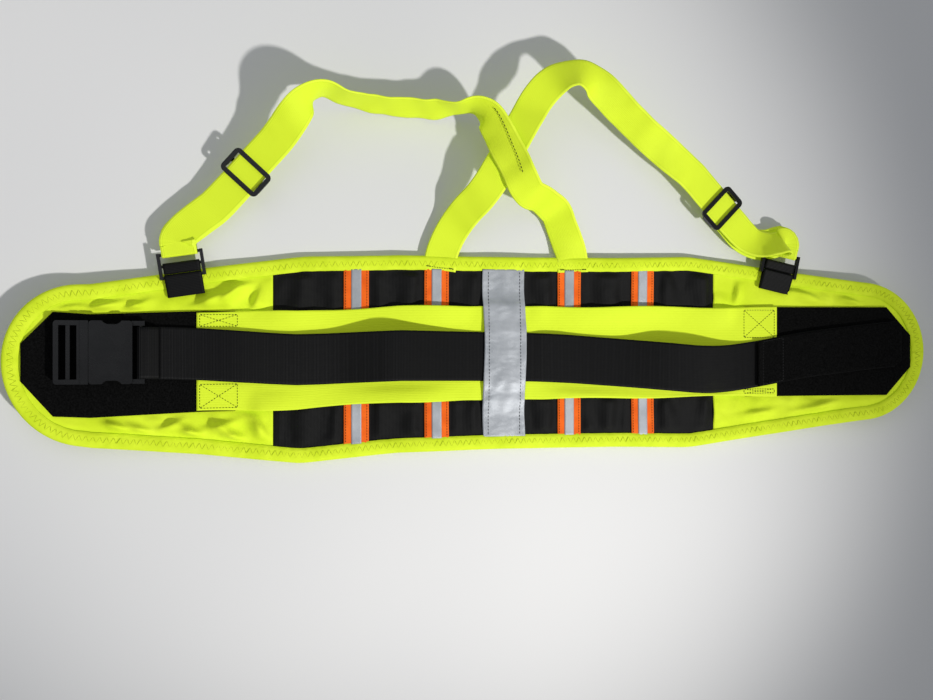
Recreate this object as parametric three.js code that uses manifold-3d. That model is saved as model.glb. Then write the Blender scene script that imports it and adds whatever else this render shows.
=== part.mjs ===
// Back-support belt with crossed suspenders, laid flat with its outer side up.
// Millimetres. +X runs along the belt, +Y towards the suspenders, +Z up off the inner face.
// The origin is the middle of the inner lining's underside.
import * as THREE from 'three';
import { mergeVertices } from 'three/addons/utils/BufferGeometryUtils.js';
import Module from 'manifold-3d';

// ---- driving dimensions ----
const gap = 0.3;                // clearance between pieces that touch
const beltLength = 950;
const beltHeight = 197;         // at the middle of the back
const panelFlare = 3.5;         // how much taller each half is near the back panel's ends
const wingRootDrop = 1;         // half height lost just past the back panel
const wingTipDrop = 22.5;       // half height lost at the start of the rounded tip
const tipLength = 70;           // length of each rounded tip
const tipTurn = 1.53;           // radians of the quarter turn that each tip is cut to
const panelLength = 464;        // black back panel
const flareMargin = 27;         // the belt is tallest this far from the panel's ends
const patchFromPanel = 130;     // the inner hook patch starts this far past the back panel
const wingSag = 10;             // the left wing lies this much lower in the plane
const tipLift = 18;             // both tips curl up this much off the surface
const bindingWidth = 14.5;
const bindingWall = 1.2;
const bindingThick = 8;
const liningThick = 1.2;
const foamThick = 3.5;
const panelThick = 1.2;
const stayWidth = 12;
const stayThick = 1.5;
const stayLength = 150;
const tapeWidth = 25;
const tapeThick = 0.7;
const stripeWidth = 10;
const stripeThick = 0.4;
const tapeInner = 70;           // distance of the inner tapes from the middle
const tapeOuter = 151;
const centerStripWidth = 44;
const centerStripThick = 0.8;
const bandHeight = 96;          // yellow side-pull bands
const bandThick = 1.2;
const tabHeight = 97;           // black pull tabs
const tabLength = 190;
const tabThick = 1.2;
const tabTipMargin = 17;        // pull tab's end to the belt's tip
const tabClip = 27;             // clipped corners of the pull tabs
const bandOverTab = 36;         // how far a band's end lies over its pull tab
const hookPadInset = 8;
const hookPadThick = 0.8;
const webbingWidth = 50;
const webbingThick = 1.6;
const endTabLength = 165;
const endTabMargin = 31;        // webbing end tab to the belt's tip
const barFromTip = 121;         // buckle's web bar to the left tip
const buckleWidth = 59;
const buckleThick = 13;
const webBarRadius = 2;
const femaleLength = 38;
const maleFrameLength = 30;
const maleInside = 27;          // how far the prongs reach into the female half
const strapWidth = 33;
const strapThick = 1.2;
const anchorX = 70;             // rear ends of the straps, each side of the middle
const ringTabWidth = strapWidth + 2;
const ringTabThick = 1.2;
const ringSideGap = 2;          // between a strap's edge and the ring's side bar
const ringInner = strapWidth + 2 * ringSideGap;
const ringBar = 3;              // ring's bar thickness
const ringPitch = 11;           // between the ring's bars
const ringInset = 5;            // the ring's hinge bar, in from the belt's edge
const strapEndLeg = 3;          // a strap's loop reaches this far past the ring's far bar
const sliderSideGap = 1;        // between a strap's edge and the slider's frame
const sliderInner = strapWidth + 2 * sliderSideGap;
const sliderBar = 4.5;
const sliderLength = 27;
const sliderPlate = 2;

// ---- colours ----
const finish = (color, roughness) => new THREE.MeshStandardMaterial({ color, roughness });
const yellow = finish(0xc8f01e, 0.75);
const black = finish(0x121313, 0.8);
const plastic = finish(0x1a1b1d, 0.42);
const orange = finish(0xff6a1c, 0.7);
const silver = finish(0xb4b8be, 0.35);
const foam = finish(0x55585c, 0.9);
const steel = finish(0x9a9da0, 0.3);

const wasm = await Module();
wasm.setup();
const group = new THREE.Group();

// ---- levels, counted up from the inner face ----
const grooveLow = bindingWall + gap;
const grooveHigh = bindingThick - bindingWall - gap;
const foamTop = grooveLow + foamThick;
const panelTop = foamTop + gap + panelThick;
const tapeLow = panelTop + gap;
const stripeLow = tapeLow + tapeThick + gap;
const bandLow = stripeLow + stripeThick + gap;
const hookPadLow = panelTop + gap;
const tabLow = hookPadLow + hookPadThick + gap;
const tabTop = tabLow + tabThick;
const bandRise = Math.max(0, tabTop + gap - bandLow);
const webbingLow = bandLow + bandThick + gap;

// ---- the belt's plan ----
const halfLength = beltLength / 2;
const halfPanel = panelLength / 2;
const tipStart = halfLength - tipLength;
const flareEnd = halfPanel - flareMargin;
const halfHeights = [
  [0, beltHeight / 2], [flareEnd * 0.6, beltHeight / 2 + 1], [flareEnd, beltHeight / 2 + panelFlare],
  [halfPanel + 8, beltHeight / 2 - wingRootDrop], [tipStart, beltHeight / 2 - wingTipDrop],
];
const sagLine = [
  [-halfLength, -wingSag * 0.75], [-halfLength * 0.84, -wingSag * 1.2], [-halfLength * 0.63, -wingSag * 0.8],
  [-halfLength * 0.44, -wingSag * 0.7], [-halfLength * 0.23, -wingSag * 0.1], [0, 0], [halfLength, 2],
];

function along(line, x) {
  if (x <= line[0][0]) return line[0][1];
  for (let i = 1; i < line.length; i++) {
    const [x1, y1] = line[i];
    if (x > x1) continue;
    const [x0, y0] = line[i - 1];
    return y0 + (y1 - y0) * (x - x0) / (x1 - x0);
  }
  return line[line.length - 1][1];
}
const sag = x => along(sagLine, x);
const lift = x => tipLift * (Math.max(0, Math.abs(x) - halfPanel) / (halfLength - halfPanel)) ** 2;

function halfHeight(x, inset = 0) {
  const d = Math.abs(x);
  if (d <= tipStart) return along(halfHeights, d) - inset;
  const reach = (d - tipStart) / (tipLength - inset);
  return (beltHeight / 2 - wingTipDrop - inset) * Math.sqrt(Math.max(0, 1 - reach * reach));
}

// the stations that every layer shares, so that stacked layers stay apart between them
function stations(from, to, inset = 0) {
  const fixed = [...halfHeights, ...sagLine].flatMap(([x]) => [x, -x]);
  const even = [...Array(73).keys()].map(i => (i / 36 - 1) * tipStart);
  const round = [...Array(13).keys()].flatMap(i => {
    const x = tipStart + (tipLength - inset) * Math.sin(i / 12 * tipTurn);
    return [x, -x];
  });
  const inside = [...fixed, ...even, ...round].filter(x => x > from + 0.5 && x < to - 0.5);
  const sorted = [from, ...inside.sort((a, b) => a - b), to];
  return sorted.filter((x, i) => i === 0 || x - sorted[i - 1] > 0.4 || i === sorted.length - 1);
}

// ---- makers ----
function solidFrom(vertices, triangles) {
  const geometry = new THREE.BufferGeometry();
  geometry.setAttribute('position', new THREE.Float32BufferAttribute(vertices, 3));
  geometry.setIndex(triangles);
  geometry.computeVertexNormals();
  return geometry;
}

// a closed bar through rings of four corners
function loft(rings) {
  const triangles = [];
  for (let i = 0; i + 1 < rings.length; i++) {
    for (let k = 0; k < 4; k++) {
      const a = 4 * i + k;
      const b = 4 * i + (k + 1) % 4;
      triangles.push(a, b, b + 4, a, b + 4, a + 4);
    }
  }
  const end = 4 * (rings.length - 1);
  triangles.push(0, 2, 1, 0, 3, 2, end, end + 1, end + 2, end, end + 2, end + 3);
  return solidFrom(rings.flat(2), triangles);
}

// a layer of the belt between two edges; level may be a height or a function of x
function slab(xs, low, high, level, thick) {
  const z = typeof level === 'function' ? level : () => level;
  return loft(xs.map(x => {
    const y0 = low(x) + sag(x);
    const y1 = high(x) + sag(x);
    const z0 = z(x) + lift(x);
    return [[x, y0, z0], [x, y1, z0], [x, y1, z0 + thick], [x, y0, z0 + thick]];
  }));
}

function beltLayer(from, to, inset, level, thick) {
  const xs = stations(from, to, inset);
  return slab(xs, x => -halfHeight(x, inset), x => halfHeight(x, inset), level, thick);
}

function toManifold(geometry) {
  const bare = geometry.clone();
  bare.deleteAttribute('normal');
  bare.deleteAttribute('uv');
  const merged = mergeVertices(bare, 1e-4);
  const vertProperties = Float32Array.from(merged.attributes.position.array);
  const triVerts = Uint32Array.from(merged.index.array);
  return new wasm.Manifold(new wasm.Mesh({ numProp: 3, vertProperties, triVerts }));
}

function fromManifold(solid) {
  const mesh = solid.getMesh();
  return solidFrom(Array.from(mesh.vertProperties), Array.from(mesh.triVerts));
}

const cut = (base, ...tools) => fromManifold(tools.reduce((s, t) => s.subtract(toManifold(t)), toManifold(base)));
const join = (base, ...more) => fromManifold(more.reduce((s, t) => s.add(toManifold(t)), toManifold(base)));

function box(x0, x1, y0, y1, z0, z1) {
  const geometry = new THREE.BoxGeometry(x1 - x0, y1 - y0, z1 - z0);
  return geometry.translate((x0 + x1) / 2, (y0 + y1) / 2, (z0 + z1) / 2);
}

function add(name, geometry, material, parent = group) {
  const mesh = new THREE.Mesh(geometry, material);
  mesh.name = name;
  parent.add(mesh);
}

// a strip of even thickness whose side view follows (x, z) points, extruded along y
function sideStrip(points, thick, width) {
  const left = [];
  const right = [];
  points.forEach(([x, z], i) => {
    const [ax, az] = points[Math.max(0, i - 1)];
    const [bx, bz] = points[Math.min(points.length - 1, i + 1)];
    const n = Math.hypot(bx - ax, bz - az);
    const dx = -(bz - az) / n * thick / 2;
    const dz = (bx - ax) / n * thick / 2;
    left.push(new THREE.Vector2(x + dx, z + dz));
    right.unshift(new THREE.Vector2(x - dx, z - dz));
  });
  const geometry = new THREE.ExtrudeGeometry(new THREE.Shape([...left, ...right]),
    { depth: width, bevelEnabled: false });
  return geometry.rotateX(Math.PI / 2).translate(0, width / 2, 0);
}

const arc = (cx, cz, r, from, to, steps = 8) => [...Array(steps + 1).keys()].map(i => {
  const angle = THREE.MathUtils.degToRad(from + (to - from) * i / steps);
  return [cx + r * Math.cos(angle), cz + r * Math.sin(angle)];
});

const rod = (radius, length) => new THREE.CylinderGeometry(radius, radius, length, 20);

function roundedPlate(length, width, radius, thick) {
  const shape = new THREE.Shape();
  const a = length / 2 - radius;
  const b = width / 2 - radius;
  shape.absarc(a, b, radius, 0, Math.PI / 2);
  shape.absarc(-a, b, radius, Math.PI / 2, Math.PI);
  shape.absarc(-a, -b, radius, Math.PI, Math.PI * 1.5);
  shape.absarc(a, -b, radius, Math.PI * 1.5, Math.PI * 2);
  return new THREE.ExtrudeGeometry(shape, { depth: thick, bevelEnabled: false, curveSegments: 5 });
}

// ---- a flat strap through stations [x, y, z, roll]; roll turns it about its own run ----
function strapFrames(points, stepsPerSpan) {
  const curve = new THREE.CatmullRomCurve3(points.map(([x, y, z]) => new THREE.Vector3(x, y, z)), false, 'centripetal');
  const spans = points.length - 1;
  const samples = Array.from({ length: spans * stepsPerSpan + 1 }, (_, i) => {
    const span = Math.min(Math.floor(i / stepsPerSpan), spans - 1);
    const share = i / stepsPerSpan - span;
    const roll = points[span][3] * (1 - share) + points[span + 1][3] * share;
    return [...curve.getPoint(i / (spans * stepsPerSpan)).toArray(), roll];
  });
  const up = new THREE.Vector3(0, 0, 1);
  return samples.map((sample, i) => {
    const here = new THREE.Vector3(...sample);
    const last = new THREE.Vector3(...samples[Math.max(0, i - 1)]);
    const next = new THREE.Vector3(...samples[Math.min(samples.length - 1, i + 1)]);
    const run = next.sub(last).normalize();
    const side = run.clone().cross(up).normalize();
    side.applyAxisAngle(run, -THREE.MathUtils.degToRad(sample[3]));
    return { here, side, face: side.clone().cross(run).normalize() };
  });
}

function strap(points, width, thick, stepsPerSpan = 2) {
  return loft(strapFrames(points, stepsPerSpan).map(({ here, side, face }) => {
    const corner = (s, f) => here.clone().addScaledVector(side, s * width / 2)
      .addScaledVector(face, f * thick / 2).toArray();
    return [corner(-1, -1), corner(-1, 1), corner(1, 1), corner(1, -1)];
  }));
}

// ---- belt body ----
const tipReach = inset => tipStart + (tipLength - inset) * Math.sin(tipTurn);

function binding() {
  const whole = beltLayer(-tipReach(0), tipReach(0), 0, 0, bindingThick);
  const window = beltLayer(-tipReach(bindingWidth), tipReach(bindingWidth), bindingWidth, -1, bindingThick + 2);
  const groove = beltLayer(-tipReach(bindingWall), tipReach(bindingWall), bindingWall, bindingWall,
    bindingThick - 2 * bindingWall);
  return cut(whole, window, groove);
}

const layerInset = bindingWall + gap;
const windowInset = bindingWidth + gap;
const stayXs = [-tapeOuter, -tapeInner, tapeInner, tapeOuter];

function foamCore() {
  const core = beltLayer(-tipReach(layerInset), tipReach(layerInset), layerInset, grooveLow, foamThick);
  const pocketFloor = foamTop - stayThick - 2 * gap;
  const pockets = stayXs.map(x => box(x - stayWidth / 2 - gap, x + stayWidth / 2 + gap,
    sag(x) - stayLength / 2 - gap, sag(x) + stayLength / 2 + gap, pocketFloor, foamTop + 1));
  return cut(core, ...pockets);
}

const patchEnd = -halfPanel - patchFromPanel;
add('inner_lining', beltLayer(patchEnd + gap, tipReach(windowInset), windowInset, 0, liningThick), yellow);
add('closure_hook_patch', beltLayer(-tipReach(windowInset), patchEnd, windowInset, 0, liningThick), black);
add('foam_core', foamCore(), foam);
add('edge_binding', binding(), yellow);
const panelLow = foamTop + gap;
add('back_panel', beltLayer(-halfPanel, halfPanel, layerInset, panelLow, panelThick), black);
add('left_wing', beltLayer(-tipReach(layerInset), -halfPanel - gap, layerInset, panelLow, panelThick), yellow);
add('right_wing', beltLayer(halfPanel + gap, tipReach(layerInset), layerInset, panelLow, panelThick), yellow);

stayXs.forEach((x, i) => {
  const z = foamTop - stayThick - gap;
  add(`stay_${i + 1}`, box(x - stayWidth / 2, x + stayWidth / 2, sag(x) - stayLength / 2,
    sag(x) + stayLength / 2, z, z + stayThick), steel);
  const reach = d => halfHeight(d, windowInset);
  const tapeXs = [x - tapeWidth / 2, x + tapeWidth / 2];
  add(`orange_tape_${i + 1}`, slab(tapeXs, d => -reach(d), reach, tapeLow, tapeThick), orange);
  const stripeXs = [x - stripeWidth / 2, x + stripeWidth / 2];
  add(`silver_stripe_${i + 1}`, slab(stripeXs, d => -reach(d), reach, stripeLow, stripeThick), silver);
});

// ---- side-pull bands, pull tabs and hook pads ----
const tabEnd = halfLength - tabTipMargin;
const tabStart = tabEnd - tabLength;
const bandEnd = tabStart + bandOverTab;
const onTab = x => THREE.MathUtils.smoothstep(Math.abs(x), tabStart - 24, tabStart - 2) * bandRise;
const bandLevel = x => bandLow + onTab(x);
const webbingLevel = x => webbingLow + onTab(x);
const clipped = (x, half) => half - Math.max(0, Math.abs(x) - (tabEnd - tabClip)) * 1.15;

for (const [side, s] of [['left', -1], ['right', 1]]) {
  const span = (a, b) => (s < 0 ? [-b, -a] : [a, b]);
  const marks = [tabStart - 24, tabStart - 17, tabStart - 9, tabStart - 2, tabEnd - tabClip].map(x => s * x);
  const xsOf = (a, b) => {
    const [from, to] = span(a, b);
    const inner = marks.filter(x => x > from + 0.6 && x < to - 0.6);
    return [...stations(from, to), ...inner].sort((p, q) => p - q)
      .filter((x, i, all) => i === 0 || x - all[i - 1] > 0.05);
  };
  add(`pull_tab_${side}`, slab(xsOf(tabStart, tabEnd), x => -clipped(x, tabHeight / 2),
    x => clipped(x, tabHeight / 2), tabLow, tabThick), black);
  const padHalf = x => clipped(x, tabHeight / 2) - hookPadInset;
  add(`hook_pad_${side}`, slab(xsOf(tabStart + hookPadInset, tabEnd - hookPadInset), x => -padHalf(x), padHalf,
    hookPadLow, hookPadThick), black);
  add(`side_pull_${side}`, slab(xsOf(gap, bandEnd), () => -bandHeight / 2, () => bandHeight / 2,
    bandLevel, bandThick), yellow);
}

// ---- waist webbing: it wanders a little in the plane ----
const barX = -(halfLength - barFromTip);
const endTabEnd = halfLength - endTabMargin;
const endTabStart = endTabEnd - endTabLength;
const webbingLine = [
  [barX, 11], [-207, 0], [-130, -1], [49, -5], [150, -13], [225, -20], [endTabStart, -14],
  [endTabStart + 50, -4], [endTabEnd, 9],
];
const webbingMiddle = x => along(webbingLine, x);
const webbingStart = barX + 16;

function webbingXs(from, to) {
  const marks = [...webbingLine.map(([x]) => x), -tabStart, tabStart];
  const ramps = [2, 9, 17, 24].flatMap(d => [tabStart - d, d - tabStart]);
  return [...stations(from, to), ...[...marks, ...ramps].filter(x => x > from + 0.6 && x < to - 0.6)]
    .sort((a, b) => a - b).filter((x, i, all) => i === 0 || x - all[i - 1] > 0.05);
}
const lower = x => webbingMiddle(x) - webbingWidth / 2;
const upper = x => webbingMiddle(x) + webbingWidth / 2;
const webbingEnd = endTabEnd - 6;
add('waist_webbing', slab(webbingXs(webbingStart, webbingEnd), lower, upper, webbingLevel, webbingThick), black);
add('webbing_end_tab', slab(webbingXs(endTabStart, endTabEnd), x => lower(x) + 1, x => upper(x) - 1,
  x => webbingLevel(x) + webbingThick + gap, webbingThick), black);

// ---- centre reflective strip: down on the panel at both ends, over band and webbing between ----
function centerStrip() {
  const half = halfHeight(0, windowInset);
  const rest = panelTop + gap + centerStripThick / 2;
  const overBand = bandLow + bandThick + gap + centerStripThick / 2;
  const overWebbing = webbingLow + webbingThick + gap + centerStripThick / 2;
  const mid = webbingMiddle(0);
  const webHalf = webbingWidth / 2;
  const points = [
    [-half, rest], [-bandHeight / 2 - 5, rest], [-bandHeight / 2 - 1.2, overBand],
    [mid - webHalf - 5, overBand + 0.2], [mid - webHalf - 1.5, overWebbing + 0.2],
    [mid + webHalf + 1.5, overWebbing + 0.2], [mid + webHalf + 5, overBand + 0.2],
    [bandHeight / 2 + 1.2, overBand], [bandHeight / 2 + 5, rest], [half, rest],
  ];
  return sideStrip(points, centerStripThick, centerStripWidth).rotateZ(Math.PI / 2);
}
add('center_reflective_strip', centerStrip(), silver);

// ---- side-release buckle, hinged on the webbing's loop ----
// Its own frame: the web bar at the origin, the buckle towards -x, flat in z.
const buckleUnder = 4.6;        // web bar's axis above the buckle's underside
const buckle = new THREE.Group();
const bottomOf = x => tabTop + lift(x);
const buckleSpan = femaleLength + maleFrameLength + 14;
const buckleTilt = Math.atan2(bottomOf(barX - buckleSpan) - bottomOf(barX), buckleSpan);
const barZ = bottomOf(barX) + gap + 0.5 + buckleUnder;
const barY = webbingMiddle(barX) + sag(barX);
buckle.position.set(barX, barY, barZ);
buckle.rotation.set(0, buckleTilt, 0);
group.add(buckle);

const zLow = -buckleUnder;
const zHigh = buckleThick - buckleUnder;
const bodyBack = -7;                      // female body's wall behind the webbing's slot
const mouth = bodyBack - femaleLength;    // where the male half goes in
const wall = 2;
const halfWidth = buckleWidth / 2;

function femaleHalf() {
  const body = roundedPlate(femaleLength, buckleWidth, 3, buckleThick)
    .translate((bodyBack + mouth) / 2, 0, zLow);
  const hollow = box(mouth - 1, bodyBack - wall, -halfWidth + wall, halfWidth - wall, zLow + wall, zHigh - wall);
  const window = y => box(mouth + 11, bodyBack - 9, y - 6, y + 6, zLow + wall, zHigh - wall);
  const thumb = y => rod(8, buckleThick + 2).rotateX(Math.PI / 2).scale(1.15, 0.75, 1)
    .translate(mouth + 20, y, (zLow + zHigh) / 2);
  const shell = cut(body, hollow, window(halfWidth), window(-halfWidth), thumb(halfWidth + 2), thumb(-halfWidth - 2));
  const arm = y => box(bodyBack - 1, 3.6, y - 2.2, y + 2.2, -2.6, 2.6);
  const bar = rod(webBarRadius, buckleWidth - 4);
  return join(shell, arm(halfWidth - 2.2), arm(-halfWidth + 2.2), bar);
}

// the male half slides out of the mouth towards -x
const frameBack = mouth - gap - maleFrameLength;
const innerTop = zHigh - wall - gap;
const innerLow = zLow + wall + gap;

function maleHalf() {
  const plate = roundedPlate(maleFrameLength, buckleWidth, 3, buckleThick - 4)
    .translate(mouth - gap - maleFrameLength / 2, 0, zLow + 2);
  const slots = box(frameBack + 4.5, frameBack + 20, -halfWidth + 4.5, halfWidth - 4.5, zLow - 5, zHigh + 5);
  const ladder = box(frameBack + 10.5, frameBack + 14, -halfWidth + 3, halfWidth - 3, zLow + 3.5, zHigh - 3.5);
  const lip = box(mouth - 7, mouth - gap, -halfWidth, halfWidth, zLow, zHigh);
  const tongue = box(mouth - 3, mouth + maleInside - 4, -5, 5, innerLow, innerTop);
  return join(cut(plate, slots), ladder, lip, tongue);
}

// one sprung prong: a thin blade with a catch at its end
function prong(s) {
  const inner = halfWidth - wall - gap;
  const points = [
    [mouth + gap, inner - 4.5], [mouth + 10, inner - 4.5], [mouth + 13, inner - 0.8],
    [mouth + maleInside - 4, inner - 0.8], [mouth + maleInside, inner - 7],
    [mouth + maleInside - 3, inner - 9], [mouth + gap, inner - 8],
  ].map(([x, y]) => new THREE.Vector2(x, s * y));
  const shape = new THREE.Shape(s > 0 ? points.reverse() : points);
  const thick = innerTop - innerLow - 2 * gap;
  return new THREE.ExtrudeGeometry(shape, { depth: thick, bevelEnabled: false }).translate(0, 0, innerLow + gap);
}

add('buckle_female', femaleHalf(), plastic, buckle);
add('buckle_male', maleHalf(), plastic, buckle);
add('prong_upper', prong(1), plastic, buckle);
add('prong_lower', prong(-1), plastic, buckle);

// the webbing's sewn loop round the web bar
function webbingLoop() {
  const radius = webBarRadius + gap + webbingThick / 2;
  const flat = webbingLow + lift(webbingStart) + onTab(webbingStart) + webbingThick / 2 - barZ;
  const points = [
    [webbingStart - barX - gap, flat], [7, Math.max(-radius, flat) - 0.1], ...arc(0, 0, radius, 270, 90, 10),
    [7, radius - 0.4], [webbingStart - barX - gap, flat + webbingThick + 2 * gap],
  ];
  const width = buckleWidth - 2 * 4.4 - 2 * gap;
  return sideStrip(points, webbingThick, Math.min(width, webbingWidth)).translate(barX, barY, barZ);
}
add('webbing_loop', webbingLoop(), black);

// ---- ring tabs and rings on the top edge ----
const ringBarRadius = ringBar / 2;
const ringSides = [
  { side: 'left', x: -316, turn: 9 },
  { side: 'right', x: 304, turn: -12 },
];

for (const { side, x, turn } of ringSides) {
  const frame = new THREE.Group();       // +x points out of the belt, y runs along the bars
  const radius = ringBarRadius + gap + ringTabThick / 2;
  const rest = bindingThick + gap + ringTabThick / 2;
  frame.position.set(x, halfHeight(x) + sag(x) - ringInset, rest + radius + 0.1 + lift(Math.abs(x) + 14));
  frame.rotation.set(0, 0, THREE.MathUtils.degToRad(90 + turn));
  group.add(frame);
  const tabPoints = [[-19, -radius], [-2, -radius], ...arc(0, 0, radius, 270, 450, 10),
    [-6, radius - 0.9], [-19, -radius + ringTabThick + gap]];
  add(`ring_tab_${side}`, sideStrip(tabPoints, ringTabThick, ringTabWidth), black, frame);
  const barAt = (u, r) => rod(r, ringInner + 2).translate(u, 0, 0);
  const sideBar = y => box(-ringBarRadius, 2 * ringPitch + ringBarRadius, y - ringBar / 2, y + ringBar / 2,
    -ringBarRadius - 0.4, ringBarRadius + 0.9);
  const edge = (ringInner + ringBar) / 2;
  add(`ring_${side}`, join(sideBar(edge), sideBar(-edge), barAt(0, ringBarRadius), barAt(ringPitch, ringBarRadius),
    barAt(2 * ringPitch, ringBarRadius)), plastic, frame);
  const loopRadius = ringBarRadius + gap + strapThick / 2;
  const far = 2 * ringPitch;
  const loopPoints = [[far + strapEndLeg, loopRadius + 0.2], [far + 1, loopRadius], ...arc(far, 0, loopRadius, 90, 270, 10),
    [far + 1, -loopRadius], [far + strapEndLeg, -loopRadius]];
  add(`strap_end_${side}`, sideStrip(loopPoints, strapThick, strapWidth), yellow, frame);
}

// ---- shoulder straps: rear anchor, crossing, fold, slider, ring ----
const beltTop = beltHeight / 2;
const lay = (points, dx, dy) => points.map(([x, y, z, roll]) => [x + dx, y + dy, z, roll]);
const routeHalfHeight = 98.5;             // the belt's half height and the rear ends' place that the routes suit
const routeAnchorX = 70;
const routeRings = [{ y: 73.925, z: 14.328 }, { y: 85.441, z: 13.655 }];
const anchorShift = anchorX - routeAnchorX;
const heightShift = beltTop - routeHalfHeight;

// the strap that ends at the left ring starts at the right rear anchor, and lies on top where they cross
const leftStrapRoute = [
  [74, 84, 9.3, 0], [73, 100, 9.8, 0], [66, 118, 11, 20], [60, 131, 13, 30], [53, 144, 18, 34],
  [38, 153, 29, 44], [18, 160, 42, 42], [7, 174, 50, 28], [0, 189, 49.5, 24], [-8, 206, 45.5, 25],
  [-16, 223, 42, 30], [-25, 237, 40, 52], [-37, 244, 34, 76], [-53, 244, 26, 82], [-72, 243, 20, 76],
  [-95, 243, 17.5, 74], [-120, 245, 17.5, 74], [-145, 247, 20, 76], [-164, 249, 28, 82], [-180, 250, 38, 84],
  [-193, 246, 46, 68], [-204, 236, 48, 38], [-214, 223, 43, 14], [-226, 207, 34, 3], [-241.5, 190, 28, 0],
  [-257, 173, 24, 0], [-272.5, 156, 20, 0], [-288, 140, 17.5, 0], [-303, 128, 17, 0], [-315, 117, 17, 0],
];
// the strap that ends at the right ring starts at the left rear anchor, and lies below
const rightStrapRoute = [
  [-67, 84, 9.3, 0], [-65, 99, 9.4, 0], [-59, 115, 9.5, 0], [-51, 130, 13, 6], [-41, 144, 23, 6],
  [-31, 155, 30, 4], [-22, 167, 34, 5], [-13, 182, 38, 13], [-4, 200, 41, 23], [6, 219, 44, 22],
  [16, 237, 46, 10], [28, 256, 46, 2], [41, 270, 47, 12], [55, 278, 50, 28], [69, 280, 52, 32],
  [83, 274, 51, 14], [97, 262, 47, -16], [117, 245, 42, -36], [138, 229, 37, -38], [160, 214, 32, -24],
  [182, 199, 28.5, -8], [201.5, 185.5, 25, 0], [218, 169.5, 23, 0], [234.5, 153.5, 21, 0], [251, 137.5, 19, 0],
  [267, 124, 17, 6], [282, 118, 18, 22], [295, 118, 23, 42], [305, 120, 26, 40],
];

// the ring's end of a strap, in the belt's frame: along is out from the bar, height from its axis
function ringPoint(k, alongRing, height) {
  const { x, turn } = ringSides[k];
  const angle = THREE.MathUtils.degToRad(90 + turn);
  const barHeight = bindingThick + 2 * gap + 0.1 + ringTabThick + ringBarRadius + lift(Math.abs(x) + 14);
  return [x + alongRing * Math.cos(angle), halfHeight(x) + sag(x) - ringInset + alongRing * Math.sin(angle),
    barHeight + height, 0];
}
const ringReach = 2 * ringPitch + strapEndLeg + gap;
const loopRise = ringBarRadius + gap + strapThick / 2 + 0.2;
const ringEnd = k => [8, 4, gap].map(d => ringPoint(k, ringReach + d, loopRise + 0.1 * d));
const returnHeight = 9.5;                 // the return run's height, and how far below the strap it hangs
const returnDrop = 6;
const pastSlider = 26;                    // from this point on a route follows its ring
function followRing(points, k) {
  const [, y, z] = ringPoint(k, 0, 0);
  const dy = y - routeRings[k].y - heightShift;
  const dz = z - routeRings[k].z;
  return points.map(([px, py, pz, roll], i) => {
    const share = Math.max(0, Math.min(1, (i - pastSlider) / (points.length - 1 - pastSlider)));
    return [px, py + share * dy, pz + share * dz, roll];
  });
}
const leftRoute = [...followRing(lay(leftStrapRoute, 0, heightShift), 0), ...ringEnd(0)];
const rightRoute = [...followRing(lay(rightStrapRoute, 0, heightShift), 1), ...ringEnd(1)];
const shiftAnchor = (points, s) => points.map(([x, y, z, roll], i) => [x + s * anchorShift * Math.max(0, 1 - i / 5), y,
  z, roll]);
add('shoulder_strap_left', strap(shiftAnchor(leftRoute, 1), strapWidth, strapThick), yellow);
add('shoulder_strap_right', strap(shiftAnchor(rightRoute, -1), strapWidth, strapThick), yellow);

// ---- sliders, and the strap's loop and return run beneath ----
function sliderOn(side, from, to) {
  const a = new THREE.Vector3(...from);
  const b = new THREE.Vector3(...to);
  const run = b.clone().sub(a).normalize();
  const across = run.clone().cross(new THREE.Vector3(0, 0, 1)).normalize();
  const face = across.clone().cross(run);
  const frame = new THREE.Group();       // +x along the strap towards the ring, z out of its face
  frame.position.copy(a.clone().add(b).multiplyScalar(0.5));
  frame.quaternion.setFromRotationMatrix(new THREE.Matrix4().makeBasis(run, across.clone().negate(), face));
  group.add(frame);
  const width = sliderInner + 2 * sliderBar;
  const strapFace = strapThick / 2 + gap;
  const barTop = -strapFace - strapThick - gap;
  const plate = roundedPlate(sliderLength, width, 5, sliderPlate).translate(0, 0, strapFace);
  const openHalf = sliderLength / 2 - sliderBar;
  const open = box(-openHalf, openHalf, -sliderInner / 2, sliderInner / 2, strapFace - 1, strapFace + sliderPlate + 1);
  const cheek = y => box(-7, 7, y - sliderBar / 2 + 0.5, y + sliderBar / 2 - 0.5, barTop - 1.8, strapFace + 0.5);
  const cheekY = (sliderInner + sliderBar) / 2;
  const bar = box(-2, 2, -cheekY, cheekY, barTop - 1.8, barTop);
  add(`slider_${side}`, join(cut(plate, open), cheek(cheekY), cheek(-cheekY), bar), plastic, frame);
  const loopOut = strapThick / 2 + gap;
  const top = barTop + loopOut;
  const low = barTop - 1.8 - loopOut;
  const loopPoints = [[9, low], [3, low], ...arc(-2, (top + low) / 2, (top - low) / 2, 270, 90, 6),
    [3, top], [6, top - 1.4], [9, low + strapThick + gap]];
  add(`strap_loop_${side}`, sideStrip(loopPoints, strapThick, strapWidth), yellow, frame);
  frame.updateMatrixWorld(true);
  return [9 + gap, 12, 17].map(u => frame.localToWorld(new THREE.Vector3(u, 0, low)).toArray());
}

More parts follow.
